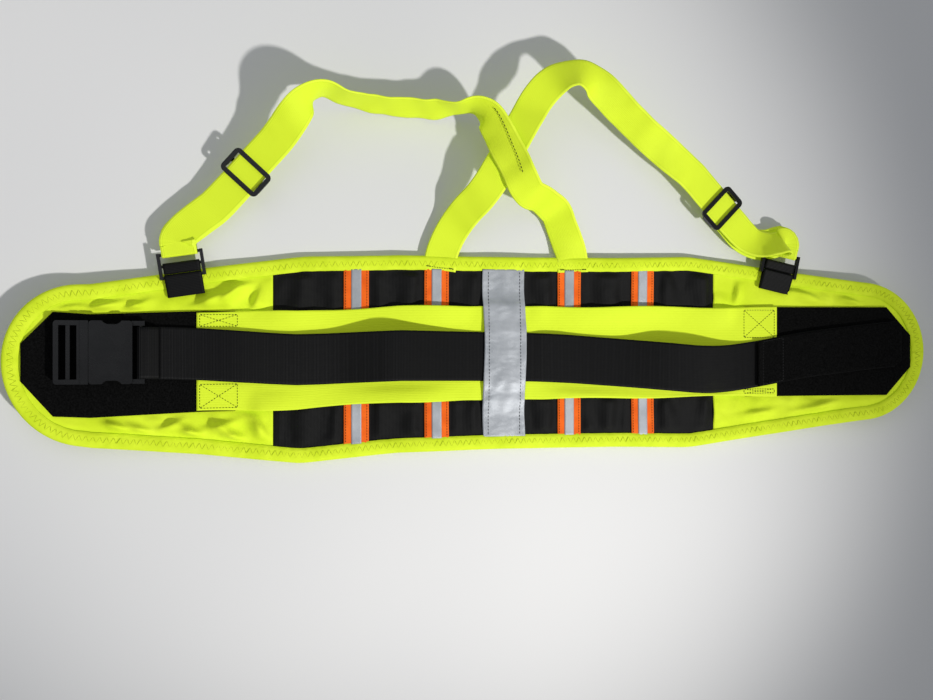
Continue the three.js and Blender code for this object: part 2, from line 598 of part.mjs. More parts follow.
function returnRun(side, start, route, k) {
  const below = -(ringBarRadius + gap + strapThick / 2);
  const ends = [12, 6, 5 * gap].map(d => ringPoint(k, ringReach + d, below));
  const most = returnHeight + ringPoint(k, 0, 0)[2] - routeRings[k].z;
  const points = route.map(([x, y, z]) => [x, y, Math.min(z - returnDrop, most), 0]);
  add(`strap_return_${side}`, strap([...start.map(p => [...p, 0]), ...points, ...ends], strapWidth, strapThick), yellow);
}
const leftStart = sliderOn('left', leftRoute[24], leftRoute[26]);
const rightStart = sliderOn('right', rightRoute[22], rightRoute[24]);
returnRun('left', leftStart, leftRoute.slice(27, 29), 0);
returnRun('right', rightStart, rightRoute.slice(25, 28), 1);

export default group;
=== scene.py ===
"""Back-support belt with crossed suspenders, laid open on a pale floor, outer side up.

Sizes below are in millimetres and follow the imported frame; every mesh is made in metres.
"""
import math

import bpy
import numpy as np
from mathutils import Matrix, Vector, noise


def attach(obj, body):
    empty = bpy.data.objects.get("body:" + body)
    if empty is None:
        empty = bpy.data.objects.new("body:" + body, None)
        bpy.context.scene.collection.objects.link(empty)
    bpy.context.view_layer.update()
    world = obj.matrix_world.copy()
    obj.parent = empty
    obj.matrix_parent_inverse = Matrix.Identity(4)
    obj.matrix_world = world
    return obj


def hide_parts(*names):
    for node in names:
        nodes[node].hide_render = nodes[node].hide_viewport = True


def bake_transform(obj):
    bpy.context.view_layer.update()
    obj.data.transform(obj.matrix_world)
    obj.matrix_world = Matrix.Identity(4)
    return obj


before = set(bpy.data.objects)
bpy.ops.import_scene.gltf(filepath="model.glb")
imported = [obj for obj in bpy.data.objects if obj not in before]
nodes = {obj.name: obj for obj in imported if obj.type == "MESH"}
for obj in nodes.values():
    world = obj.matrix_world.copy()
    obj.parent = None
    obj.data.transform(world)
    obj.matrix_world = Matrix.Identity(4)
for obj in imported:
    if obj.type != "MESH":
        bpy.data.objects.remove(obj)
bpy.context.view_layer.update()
MM = 0.001

# ---- the belt's sizes ----
GAP = 0.3
HALF_LENGTH, HALF_HEIGHT = 475.0, 98.5
TIP, TIP_DROP, TIP_LIFT = 70.0, 22.5, 18.0
TIP_START = HALF_LENGTH - TIP
HALF_PANEL = 232.0
EDGE_INSET, WINDOW_INSET = 1.5, 14.8
TAPE_XS = (-151, -70, 70, 151)
TAB_START, TAB_END, TAB_HALF, TAB_CLIP = 268.0, 458.0, 48.5, 27.0
BAND_END, BAND_HALF = 304.0, 48.0
WEB_HALF, STRAP_WIDTH, STRAP_THICK = 25.0, 33.0, 1.2
BAND_LOW, WEB_LOW = 8.5, 10.0
BAND_RISE = 0.9
BAR_X = -354.0
END_TAB = (279.0, 444.0)

HALF_HEIGHTS = [(0, 98.5), (123, 99.5), (205, 102), (240, 97.5), (TIP_START, HALF_HEIGHT - TIP_DROP)]
SAG_LINE = [(-475, -7.5), (-399, -12), (-299.25, -8), (-209, -7), (-109.25, -1), (0, 0), (475, 2)]
WEBBING_LINE = [(BAR_X, 11), (-207, 0), (-130, -1), (49, -5), (150, -13), (225, -20), (279, -14), (329, -4),
                (444, 9)]


def along(line, x):
    return float(np.interp(x, [p[0] for p in line], [p[1] for p in line]))


def smooth(a, b, x):
    t = min(1.0, max(0.0, (x - a) / (b - a)))
    return t * t * (3 - 2 * t)


def sag(x):
    return along(SAG_LINE, x)


def lift(x):
    return TIP_LIFT * (max(0.0, abs(x) - HALF_PANEL) / (HALF_LENGTH - HALF_PANEL)) ** 2


def half_height(x, inset=0.0):
    d = abs(x)
    if d <= TIP_START:
        return along(HALF_HEIGHTS, d) - inset
    reach = (d - TIP_START) / (TIP - inset)
    return (HALF_HEIGHT - TIP_DROP - inset) * math.sqrt(max(0.0, 1 - reach * reach))


def tab_half(x):
    """Half the pull tab's height, less its clipped corners."""
    return TAB_HALF - max(0.0, abs(x) - (TAB_END - TAB_CLIP)) * 1.15


def web_middle(x):
    """The webbing's middle line, its bends eased."""
    return sum(along(WEBBING_LINE, x + d) for d in (-27, -18, -9, 0, 9, 18, 27)) / 7


def on_tab(x):
    """Rise of bands and webbing where they lie on a pull tab."""
    return smooth(TAB_START - 24, TAB_START - 2, abs(x)) * BAND_RISE


def ripple(x, y, seed, size):
    """Smooth seeded unevenness from -1 to 1."""
    return noise.noise(Vector((x / size, y / size, seed * 7.31)))


# ---- heights of the layers, shared by everything that lies on them ----
def clear_spot(x, y):
    """0 under the buckle and at the ring tabs, where moulded pieces lie close, 1 elsewhere."""
    under_buckle = smooth(-430, -455, x) + smooth(-345, -330, x) if y < 70 else 1.0
    return min(1.0, under_buckle) * beside_rings(x, y, 20, 45)


def beside_rings(x, y, near, far):
    """0 at the ring tabs, 1 from far on."""
    return smooth(near, far, math.hypot(x + 316, y - 84)) * smooth(near, far, math.hypot(x - 304, y - 88))


def drape(x, y):
    """Long waves that the whole layered belt takes; y is counted from the belt's middle line."""
    edge = smooth(0.45, 1.0, abs(y) / HALF_HEIGHT)
    wave = 1 + 0.75 * math.sin(x / 21 + 1.3 * math.sin(x / 55) + (1.5 if y > 0 else 0))
    return lift(x) + 0.9 * edge * wave * clear_spot(x, y) + 0.3


# folds of the wing cloth: x, y, half length, half width, turn in degrees, height
FOLDS = [
    (-404, -62, 13, 5, -24, 4), (-376, -58, 12, 5, -30, 6), (-350, -66, 15, 6, -28, 8),
    (-328, -60, 10, 5, 20, 5), (-306, -70, 15, 6, -34, 9), (-282, -62, 12, 5, 12, 6),
    (-266, -76, 15, 6.5, -40, 9), (-244, -66, 12, 6, -58, 6), (-416, 55, 12, 4.5, 18, 4),
    (-386, 57, 14, 5, 14, 6), (-360, 55, 11, 4.5, 20, 5), (-290, 60, 15, 6, 24, 8),
    (-268, 69, 14, 5.5, 40, 8), (-248, 57, 13, 6, 70, 6), (258, 62, 12, 4, 80, 4),
    (336, 62, 20, 8, -24, 6), (352, -60, 22, 7, 14, 5), (392, 54, 14, 5, -20, 4),
    (282, -66, 18, 5, 8, 4)]


def puckers(x, y):
    """How far the wing fabric stands up between the pull tab and the binding."""
    beyond = max(abs(y) - tab_half(x) if abs(x) < TAB_END else 99, (TAB_START - abs(x)) * 0.7)
    from_band = abs(y) - BAND_HALF if abs(x) < BAND_END else beyond
    to_edge = half_height(x, WINDOW_INSET + 1) - abs(y)
    room = smooth(0, 7, min(beyond, from_band)) * smooth(0, 7, to_edge) * beside_rings(x, y, 14, 28)
    fine = 1 + math.sin((x + 0.7 * y) / 4.8 + 2.6 * ripple(x, y, 3, 34))
    rise = 1.2 * fine * smooth(-0.3, 0.3, ripple(x, y, 9, 30))
    for fx, fy, half_long, half_wide, turn, height in FOLDS:
        dx, dy = x - fx, y - fy
        if abs(dx) < 3 * half_long and abs(dy) < 3 * half_long:
            c, t = math.cos(math.radians(turn)), math.sin(math.radians(turn))
            u, v = dx * c + dy * t, dy * c - dx * t
            steep = half_wide * (0.6 if v > 0 else 1.3)
            rise += 1.5 * height * math.exp(-(u / half_long) ** 2 - (v / steep) ** 2)
    return room * (rise + 1.5 * max(0.0, ripple(x, y, 5, 24)))


def gathers(x, y):
    """The back panel's soft upright gathers, flat where tapes lie on it."""
    off_tape = min(abs(x - t) for t in TAPE_XS)
    off_strip = abs(x)
    free = smooth(13, 24, off_tape) * smooth(23, 34, off_strip)
    free *= smooth(0, 8, half_height(x, WINDOW_INSET) - abs(y))
    free *= smooth(HALF_PANEL, HALF_PANEL - 12, abs(x)) * smooth(BAND_HALF - 6, BAND_HALF + 6, abs(y))
    return free * 4.4 * max(0.0, 0.45 + 0.7 * math.sin(x / 5.6 + 1.8 * ripple(x, y * 0.4, 8, 30)) * 0.6
                            + 0.5 * ripple(x, y, 2, 18))


def band_level(x, y):
    """Underside of a side-pull band."""
    edge = smooth(0.45, 1.0, abs(y) / BAND_HALF)
    free = smooth(BAND_END - 42, BAND_END - 60, abs(x)) * smooth(24, 44, abs(x))
    free *= smooth(0, 12, abs(y - web_middle(x)) - WEB_HALF)
    wave = 0.5 + 0.5 * math.sin(x / 17.5 + (0.4 if y > 0 else 2.0) + 1.1 * math.sin(x / 41))
    return BAND_LOW + on_tab(x) + free * edge * (0.8 + 4.2 * wave)


# the webbing's bows: x, height
WEBBING_BOWS = [(-338, 0), (-300, 1), (-262, 5), (-225, 1.5), (-170, 4), (-112, 21), (-72, 8), (-42, 1),
                (-24, 0), (24, 0), (52, 4), (84, 2), (128, 4), (178, 19), (214, 18), (250, 3), (272, 0.5),
                (300, 0), (444, 0)]


def web_rise(x):
    """How far the webbing bows up off the bands."""
    if abs(x) < 24:
        return 0.0
    return sum(along(WEBBING_BOWS, x + d) for d in (-12, -6, 0, 6, 12)) / 5 * smooth(24, 40, abs(x))


def web_level(x, v):
    """Underside of the webbing; v runs from -1 to 1 across it."""
    tilt = 1.0 * math.sin(x / 33 + 1) * smooth(24, 50, abs(x)) * smooth(BAR_X + 20, BAR_X + 60, x)
    return WEB_LOW + on_tab(x) + web_rise(x) + tilt * v * smooth(END_TAB[0], END_TAB[0] - 40, x)


def strip_level(y):
    """Underside of the centre strip, over panel, bands and webbing."""
    mid = web_middle(0)
    points = [(-90, 6.8), (-64, 6.8), (-56, 7.9), (-49, 10.2), (mid - 38, 10.5), (mid - 27, 12.3),
              (mid + 27, 12.3), (mid + 38, 10.5), (49, 10.2), (56, 7.9), (64, 6.8), (90, 6.8)]
    return sum(along(points, y + d) for d in (-2, -1, 0, 1, 2)) / 5


# ---- mesh makers ----
def make_object(name, verts, faces, material, uv=None, shade_smooth=True):
    mesh = bpy.data.meshes.new(name)
    mesh.from_pydata([tuple(v) for v in np.asarray(verts) * MM], [], faces)
    mesh.validate()
    if uv is not None:
        layer = mesh.uv_layers.new(name="flat")
        index = np.empty(len(mesh.loops), np.int32)
        mesh.loops.foreach_get("vertex_index", index)
        layer.data.foreach_set("uv", (np.asarray(uv)[index] * MM).astype(np.float32).ravel())
    mesh.polygons.foreach_set("use_smooth", [shade_smooth] * len(mesh.polygons))
    mesh.materials.append(material)
    obj = bpy.data.objects.new(name, mesh)
    bpy.context.scene.collection.objects.link(obj)
    return obj


def thick_sheet(name, points, thick, material, uv=None, up=None):
    """A closed sheet of cloth whose underside lies on the grid of points."""
    p = np.asarray(points, float)
    nu, nv = p.shape[:2]
    if up is None:
        across = np.gradient(p, axis=1)
        run = np.gradient(p, axis=0)
        up = np.cross(run, across)
        up /= np.maximum(1e-9, np.linalg.norm(up, axis=2, keepdims=True))
    verts = np.concatenate([(p + up * thick).reshape(-1, 3), p.reshape(-1, 3)])
    at = np.arange(nu * nv).reshape(nu, nv)
    low = at + nu * nv
    faces = []

    def quads(a, b, c, d):
        faces.extend(zip(a.ravel().tolist(), b.ravel().tolist(), c.ravel().tolist(), d.ravel().tolist()))
    quads(at[:-1, :-1], at[1:, :-1], at[1:, 1:], at[:-1, 1:])
    quads(low[:-1, :-1], low[:-1, 1:], low[1:, 1:], low[1:, :-1])
    quads(low[:-1, 0], low[1:, 0], at[1:, 0], at[:-1, 0])
    quads(at[:-1, -1], at[1:, -1], low[1:, -1], low[:-1, -1])
    quads(at[0, :-1], at[0, 1:], low[0, 1:], low[0, :-1])
    quads(low[-1, :-1], low[-1, 1:], at[-1, 1:], at[-1, :-1])
    if uv is None:
        su = np.concatenate([[0], np.cumsum(np.linalg.norm(np.diff(p[:, nv // 2], axis=0), axis=1))])
        sv = np.concatenate([[0], np.cumsum(np.linalg.norm(np.diff(p[nu // 2], axis=0), axis=1))])
        uv = np.stack(np.meshgrid(su, sv - sv[-1] / 2, indexing="ij"), axis=2)
    flat = np.concatenate([np.asarray(uv).reshape(-1, 2)] * 2)
    return make_object(name, verts, faces, material, flat)


def layer(name, xs, low, high, level, thick, material, rows):
    """A layer of the belt; low, high and level are functions, y counted from the belt's middle line."""
    points, uv = [], []
    for x in xs:
        ys = np.linspace(low(x), high(x), rows)
        points.append([(x, y + sag(x), level(x, y) + drape(x, y)) for y in ys])
        uv.append([(x, y) for y in ys])
    up = np.zeros((len(xs), rows, 3))
    up[:, :, 2] = 1
    return thick_sheet(name, points, thick, material, uv, up)


def even(path, step):
    """The path at even steps."""
    p = np.asarray(path, float)
    s = np.concatenate([[0], np.cumsum(np.linalg.norm(np.diff(p, axis=0), axis=1))])
    n = max(2, int(round(s[-1] / step)) + 1)
    t = np.linspace(0, s[-1], n)
    return np.stack([np.interp(t, s, p[:, k]) for k in range(p.shape[1])], axis=1)


def stitches(path, height, pitch=3.2):
    """Ends of the stitches along a path of (x, y), or (x, y, z) with height None."""
    line = even(path, pitch)
    raised = [(q[0], q[1], (q[2] if height is None else height(q[0], q[1])) + 0.14) for q in line]
    return list(zip(raised[:-1], raised[1:]))


def sewing_tree():
    """One thread bead along each edge of the piece that it is given."""
    tree = bpy.data.node_groups.new("sewing", "GeometryNodeTree")
    face = tree.interface
    face.new_socket("Geometry", in_out="INPUT", socket_type="NodeSocketGeometry")
    share = face.new_socket("Stitch share", in_out="INPUT", socket_type="NodeSocketFloat")
    radius = face.new_socket("Thread radius", in_out="INPUT", socket_type="NodeSocketFloat")
    thread = face.new_socket("Thread", in_out="INPUT", socket_type="NodeSocketMaterial")
    face.new_socket("Geometry", in_out="OUTPUT", socket_type="NodeSocketGeometry")

    def add(kind, **settings):
        node = tree.nodes.new(kind)
        for key, value in settings.items():
            setattr(node, key, value)
        return node
    start, end = add("NodeGroupInput"), add("NodeGroupOutput")
    ends = add("GeometryNodeInputMeshEdgeVertices")
    run = add("ShaderNodeVectorMath", operation="SUBTRACT")
    keep = add("GeometryNodeCaptureAttribute", domain="EDGE")
    keep.capture_items.new("VECTOR", "Run")
    centres = add("GeometryNodeMeshToPoints", mode="EDGES")
    span = add("ShaderNodeVectorMath", operation="LENGTH")
    half = add("ShaderNodeMath", operation="MULTIPLY")
    shared = add("ShaderNodeMath", operation="MULTIPLY")
    half.inputs[1].default_value = 0.5
    size = add("ShaderNodeCombineXYZ")
    turn = add("FunctionNodeAlignRotationToVector", axis="X")
    bead = add("GeometryNodeMeshUVSphere")
    bead.inputs["Segments"].default_value, bead.inputs["Rings"].default_value = 6, 5
    bead.inputs["Radius"].default_value = 1.0
    beads = add("GeometryNodeInstanceOnPoints")
    plain = add("GeometryNodeRealizeInstances")
    soft = add("GeometryNodeSetShadeSmooth")
    finish = add("GeometryNodeSetMaterial")
    for a, b in ((ends.outputs["Position 2"], run.inputs[0]), (ends.outputs["Position 1"], run.inputs[1]),
                 (start.outputs["Geometry"], keep.inputs[0]), (run.outputs[0], keep.inputs[1]),
                 (keep.outputs[0], centres.inputs["Mesh"]), (keep.outputs[1], span.inputs[0]),
                 (span.outputs["Value"], half.inputs[0]), (half.outputs[0], shared.inputs[0]),
                 (start.outputs["Stitch share"], shared.inputs[1]), (shared.outputs[0], size.inputs[0]),
                 (start.outputs["Thread radius"], size.inputs[1]),
                 (start.outputs["Thread radius"], size.inputs[2]),
                 (keep.outputs[1], turn.inputs["Vector"]), (centres.outputs[0], beads.inputs["Points"]),
                 (bead.outputs["Mesh"], beads.inputs["Instance"]),
                 (turn.outputs[0], beads.inputs["Rotation"]),
                 (size.outputs[0], beads.inputs["Scale"]), (beads.outputs[0], soft.inputs[0]),
                 (soft.outputs[0], plain.inputs[0]), (plain.outputs[0], finish.inputs["Geometry"]),
                 (start.outputs["Thread"], finish.inputs["Material"]), (finish.outputs[0], end.inputs[0])):
        tree.links.new(a, b)
    return tree, share.identifier, radius.identifier, thread.identifier


SEWING, SHARE, RADIUS, THREAD = sewing_tree()


def sew(name, pairs, thread, share=0.76, radius=0.32):
    """Stitches between the pairs of points."""
    mesh = bpy.data.meshes.new(name)
    verts = np.array(pairs).reshape(-1, 3) * MM
    mesh.from_pydata(verts.tolist(), [(i, i + 1) for i in range(0, len(verts), 2)], [])
    obj = bpy.data.objects.new(name, mesh)
    bpy.context.scene.collection.objects.link(obj)
    step = obj.modifiers.new("sewing", "NODES")
    step.node_group = SEWING
    step[SHARE], step[RADIUS], step[THREAD] = share, radius * MM, thread
    made = bpy.data.meshes.new_from_object(obj.evaluated_get(bpy.context.evaluated_depsgraph_get()))
    obj.modifiers.clear()
    obj.data = made
    return obj


# ---- materials ----
class Nodes:
    """A short way to write a material's nodes."""

    def __init__(self, name, color, roughness, **settings):
        self.material = bpy.data.materials.new(name)
        self.material.use_nodes = True
        self.tree = self.material.node_tree
        self.surface = self.tree.nodes["Principled BSDF"]
        self.surface.inputs["Base Color"].default_value = (*color, 1)
        self.surface.inputs["Roughness"].default_value = roughness
        for key, value in settings.items():
            self.surface.inputs[key.replace("_", " ")].default_value = value
        self.flat = self.new("ShaderNodeUVMap")
        self.flat.uv_map = "flat"
        self.parts = self.new("ShaderNodeSeparateXYZ")
        self.link(self.flat.outputs[0], self.parts.inputs[0])
        self.place = self.new("ShaderNodeTexCoord")

    def new(self, kind, **settings):
        node = self.tree.nodes.new(kind)
        for key, value in settings.items():
            setattr(node, key, value)
        return node

    def link(self, a, b):
        self.tree.links.new(a, b)

    def math(self, operation, a, b=0.0):
        node = self.new("ShaderNodeMath", operation=operation)
        for socket, value in zip(node.inputs, (a, b)):
            if isinstance(value, (int, float)):
                socket.default_value = value
            else:
                self.link(value, socket)
        return node.outputs[0]

    def ribs(self, axis, period):
        """0 to 1 waves along the sheet's own run (0) or across it (1); period in mm."""
        turned = self.math("MULTIPLY", self.parts.outputs[axis], 2 * math.pi / (period * MM))
        return self.math("ADD", self.math("MULTIPLY", self.math("SINE", turned), 0.5), 0.5)

    def weave(self, run, across):
        return self.math("MULTIPLY", self.ribs(0, run), self.ribs(1, across))

    def speckle(self, scale, detail=3.0, flat=False):
        node = self.new("ShaderNodeTexNoise")
        node.inputs["Scale"].default_value = scale
        node.inputs["Detail"].default_value = detail
        self.link(self.flat.outputs[0] if flat else self.place.outputs["Object"], node.inputs["Vector"])
        return node.outputs["Fac"]

    def ramp(self, value, *stops):
        node = self.new("ShaderNodeValToRGB")
        while len(node.color_ramp.elements) < len(stops):
            node.color_ramp.elements.new(0.5)
        for element, (at, color) in zip(node.color_ramp.elements, stops):
            element.position = at
            element.color = (*color, 1)
        self.link(value, node.inputs[0])
        return node.outputs[0]

    def color(self, value):
        self.link(value, self.surface.inputs["Base Color"])
        return self

    def bump(self, *layers):
        """Layers are (height, distance in mm), laid over each other."""
        last = None
        for value, depth in layers:
            node = self.new("ShaderNodeBump")
            node.inputs["Distance"].default_value = depth * MM
            self.link(value, node.inputs["Height"])
            if last is not None:
                self.link(last, node.inputs["Normal"])
            last = node.outputs[0]
        self.link(last, self.surface.inputs["Normal"])
        return self

    def rough(self, value, low, high):
        node = self.new("ShaderNodeMapRange")
        node.inputs["To Min"].default_value = low
        node.inputs["To Max"].default_value = high
        self.link(value, node.inputs["Value"])
        self.link(node.outputs[0], self.surface.inputs["Roughness"])
        return self


YELLOW, YELLOW_DEEP, YELLOW_PALE = (0.66, 0.82, 0.030), (0.56, 0.72, 0.018), (0.72, 0.88, 0.045)
# painted glow: a faint yellow-green emission that brightens the fluorescent cloth, its shaded sides most,
# though the cloth is no lamp; also a low specular level
PAINTED_GLOW = {"Emission_Color": (0.78, 1.0, 0.0, 1), "Emission_Strength": 0.07, "Specular_IOR_Level": 0.16}


def wing_material():
    m = Nodes("hi_vis_cloth", YELLOW, 0.78, Sheen_Weight=0.02, Sheen_Roughness=0.5, **PAINTED_GLOW)
    weave = m.weave(0.9, 0.9)
    m.color(m.ramp(m.speckle(28), (0.3, YELLOW_DEEP), (0.62, YELLOW), (0.85, YELLOW_PALE)))
    return m.bump((weave, 0.10), (m.speckle(160), 0.25)).material


def binding_material():
    m = Nodes("binding_tape", YELLOW, 0.7, Sheen_Weight=0.02, **PAINTED_GLOW)
    m.color(m.ramp(m.speckle(60), (0.3, YELLOW_DEEP), (0.65, YELLOW)))
    return m.bump((m.ribs(0, 0.9), 0.09), (m.ribs(1, 1.3), 0.08), (m.speckle(210), 0.2)).material


def band_material():
    m = Nodes("side_pull_elastic", YELLOW, 0.68, Sheen_Weight=0.02, **PAINTED_GLOW)
    m.color(m.ramp(m.ribs(1, 2.6), (0.0, (0.63, 0.79, 0.026)), (0.5, YELLOW), (1.0, YELLOW)))
    return m.bump((m.ribs(1, 1.7), 0.07), (m.ribs(0, 0.8), 0.07), (m.speckle(120), 0.3)).material


def strap_material():
    m = Nodes("strap_elastic", YELLOW, 0.62, Sheen_Weight=0.02, **PAINTED_GLOW)
    edge = m.math("ABSOLUTE", m.parts.outputs[1])
    selvedge = m.math("DIVIDE", edge, STRAP_WIDTH / 2 * MM)
    m.color(m.ramp(selvedge, (0.0, YELLOW), (0.80, YELLOW), (0.83, YELLOW_DEEP), (0.87, YELLOW_PALE),
                   (1.0, YELLOW_PALE)))
    return m.bump((m.ribs(0, 1.0), 0.12), (m.ribs(1, 1.6), 0.08), (m.speckle(90), 0.2)).material


def panel_material():
    m = Nodes("black_woven_panel", (0.010, 0.010, 0.010), 0.58, Sheen_Weight=0.01, Sheen_Roughness=0.4,
              Specular_IOR_Level=0.14)
    m.color(m.ramp(m.weave(1.4, 1.1), (0.0, (0.002, 0.002, 0.002)), (1.0, (0.010, 0.010, 0.0105))))
    return m.bump((m.ribs(0, 1.4), 0.10), (m.ribs(1, 1.1), 0.16), (m.speckle(130), 0.3)).material


def hook_material():
    m = Nodes("hook_and_loop_black", (0.003, 0.003, 0.003), 0.95, Sheen_Weight=0.01, Specular_IOR_Level=0.05)
    m.color(m.ramp(m.speckle(700, 2), (0.35, (0.001, 0.001, 0.001)), (0.75, (0.006, 0.006, 0.006))))
    return m.bump((m.speckle(900, 2), 0.6), (m.speckle(200), 0.3)).material


def webbing_material():
    m = Nodes("black_webbing", (0.004, 0.004, 0.004), 0.5, Specular_IOR_Level=0.11)
    m.color(m.ramp(m.ribs(0, 1.5), (0.0, (0.002, 0.002, 0.002)), (1.0, (0.008, 0.008, 0.0085))))
    return m.bump((m.ribs(0, 1.3), 0.20), (m.ribs(1, 3.1), 0.02), (m.speckle(140), 0.2)).material


def tape_material():
    # painted glow: a faint orange emission brightens the tape, its shade most, though the tape is no lamp
    m = Nodes("orange_tape", (0.80, 0.13, 0.01), 0.65, Sheen_Weight=0.02, Specular_IOR_Level=0.1,
              Emission_Color=(1.0, 0.18, 0.0, 1), Emission_Strength=0.08)
    m.color(m.ramp(m.speckle(90), (0.3, (0.72, 0.10, 0.008)), (0.7, (0.88, 0.15, 0.015))))
    return m.bump((m.ribs(1, 0.9), 0.12), (m.ribs(0, 1.2), 0.06)).material


def silver_material():
    m = Nodes("silver_reflective", (0.42, 0.44, 0.47), 0.42, Metallic=0.25, Sheen_Weight=0.02)
    m.color(m.ramp(m.speckle(40, 5), (0.3, (0.29, 0.31, 0.335)), (0.7, (0.44, 0.46, 0.49))))
    m.rough(m.speckle(60), 0.34, 0.52)
    return m.bump((m.speckle(2600, 1), 0.10), (m.weave(0.8, 0.8), 0.05), (m.speckle(45, 4), 0.5)).material


def plastic_material():
    m = Nodes("moulded_black", (0.004, 0.004, 0.0045), 0.3, Specular_IOR_Level=0.42)
    m.color(m.ramp(m.speckle(35), (0.3, (0.002, 0.002, 0.0023)), (0.8, (0.004, 0.004, 0.0045))))
    m.rough(m.speckle(90, 5), 0.18, 0.34)
    return m.bump((m.speckle(1500, 2), 0.05)).material


def lining_material():
    m = Nodes("lining_mesh", (0.60, 0.86, 0.03), 0.85, Sheen_Weight=0.2)
    m.color(m.ramp(m.weave(2.4, 2.4), (0.0, (0.36, 0.56, 0.01)), (0.5, (0.66, 0.90, 0.04))))
    return m.bump((m.weave(2.4, 2.4), 0.4)).material


def foam_material():
    m = Nodes("foam_grey", (0.10, 0.105, 0.11), 0.9)
    m.color(m.ramp(m.speckle(400, 2), (0.35, (0.05, 0.053, 0.056)), (0.7, (0.13, 0.135, 0.14))))
    return m.bump((m.speckle(500, 2), 0.5)).material


def steel_material():
    m = Nodes("spring_steel", (0.45, 0.46, 0.47), 0.3, Metallic=1.0)
    m.rough(m.speckle(300, 6), 0.22, 0.42)
    return m.bump((m.speckle(900, 2), 0.03)).material


def thread_material(name, color):
    m = Nodes(name, color, 0.6, Sheen_Weight=0.02, Specular_IOR_Level=0.15)
    m.color(m.ramp(m.speckle(900, 1), (0.3, tuple(c * 0.6 for c in color)), (0.7, color)))
    return m.bump((m.speckle(1800, 1), 0.1)).material


wing_cloth, binding_tape, band_elastic = wing_material(), binding_material(), band_material()
strap_elastic, panel_weave, hook_black = strap_material(), panel_material(), hook_material()
black_webbing, orange_tape, silver_tape = webbing_material(), tape_material(), silver_material()
moulded, lining, foam, steel = plastic_material(), lining_material(), foam_material(), steel_material()
yellow_thread = thread_material("thread_yellow", (0.50, 0.61, 0.012))
black_thread = thread_material("thread_black", (0.006, 0.006, 0.006))
grey_thread = thread_material("thread_grey", (0.03, 0.03, 0.032))


def place(obj, body, slot, *stands_for):
    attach(obj, body)
    if stands_for:
        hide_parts(*stands_for)
    return obj


# ---- camera and light ----
def set_camera():
    data = bpy.data.cameras.new("camera")
    data.lens, data.sensor_width, data.sensor_fit = 35.04, 36.0, "HORIZONTAL"
    camera = bpy.data.objects.new("camera", data)
    bpy.context.scene.collection.objects.link(camera)
    forward = Vector((math.sin(math.radians(11)), 0, -math.cos(math.radians(11))))
    right = forward.cross(Vector((0, 1, 0))).normalized()
    up = right.cross(forward)
    turn = Matrix((right, up, -forward)).transposed().to_4x4()
    camera.matrix_world = Matrix.Translation((-0.2159, 0.003, 0.9178)) @ turn
    bpy.context.scene.camera = camera


def aim(obj, place_at, target):
    obj.location = place_at
    obj.rotation_euler = (Vector(target) - Vector(place_at)).to_track_quat("-Z", "Y").to_euler()


def add_light(name, kind, at, target, power, **settings):
    data = bpy.data.lights.new(name, kind)
    data.energy = power
    for key, value in settings.items():
        setattr(data, key, value)
    light = bpy.data.objects.new(name, data)
    bpy.context.scene.collection.objects.link(light)
    aim(light, at, target)


def set_lights():
    bpy.context.scene.view_settings.view_transform = "Standard"     # keeps the fluorescent yellow pure
    away = Vector((0.73, -0.69, 0)) * math.cos(math.radians(43)) + Vector((0, 0, math.sin(math.radians(43))))
    target = Vector((-0.22, 0.14, 0))
    add_light("key", "SPOT", target + away * 3.2, target, 360, shadow_soft_size=0.075,
              spot_size=math.radians(25), spot_blend=0.85, color=(1.0, 0.985, 0.955))
    add_light("fill", "AREA", (-0.7, 0.9, 1.6), (0, 0, 0), 6, size=1.8, color=(0.93, 0.96, 1.0))
    world = bpy.data.worlds.new("soft_surround")
    world.use_nodes = True
    world.node_tree.nodes["Background"].inputs[0].default_value = (0.80, 0.83, 0.88, 1)
    world.node_tree.nodes["Background"].inputs[1].default_value = 0.345
    bpy.context.scene.world = world


def add_floor():
    m = Nodes("pale_table", (0.70, 0.70, 0.70), 0.62)
    m.color(m.ramp(m.speckle(1.4, 2), (0.3, (0.66, 0.66, 0.665)), (0.7, (0.74, 0.735, 0.73))))
    mesh = bpy.data.meshes.new("table_top")
    side = 6.0
    corners = [(-side, -side, 0), (side, -side, 0), (side, side, 0), (-side, side, 0)]
    mesh.from_pydata(corners, [], [(0, 1, 2, 3)])
    mesh.materials.append(m.material)
    floor = bpy.data.objects.new("table_top", mesh)
    bpy.context.scene.collection.objects.link(floor)


set_camera()
set_lights()
add_floor()

# ---- belt body ----
def spaced(start, end, step):
    n = max(2, int(round((end - start) / step)))
    return [round(start + (end - start) * i / n, 3) for i in range(n + 1)]


def tip_xs(inset):
    """Stations round one tip."""
    return [TIP_START + (TIP - inset) * math.sin(a / 16 * 1.55) for a in range(1, 17)]


def belt_xs(start, end, inset, step):
    """Even stations, closer round the tips."""
    round_end = tip_xs(inset)
    xs = spaced(max(start, -TIP_START), min(end, TIP_START), step)
    if end > TIP_START:
        xs += [x for x in round_end if x < end]
    if start < -TIP_START:
        xs = [-x for x in reversed(round_end) if -x > start] + xs
    return xs


def belt_sheet(name, start, end, inset, level, thick, material, slot, step=3.0, rows=70):
    reach = lambda x: half_height(x, inset)
    xs = belt_xs(start, end, inset, step)
    obj = layer(name + "_cloth", xs, lambda x: -reach(x), reach, level, thick, material, rows)
    place(obj, "belt", slot, name)
    return obj


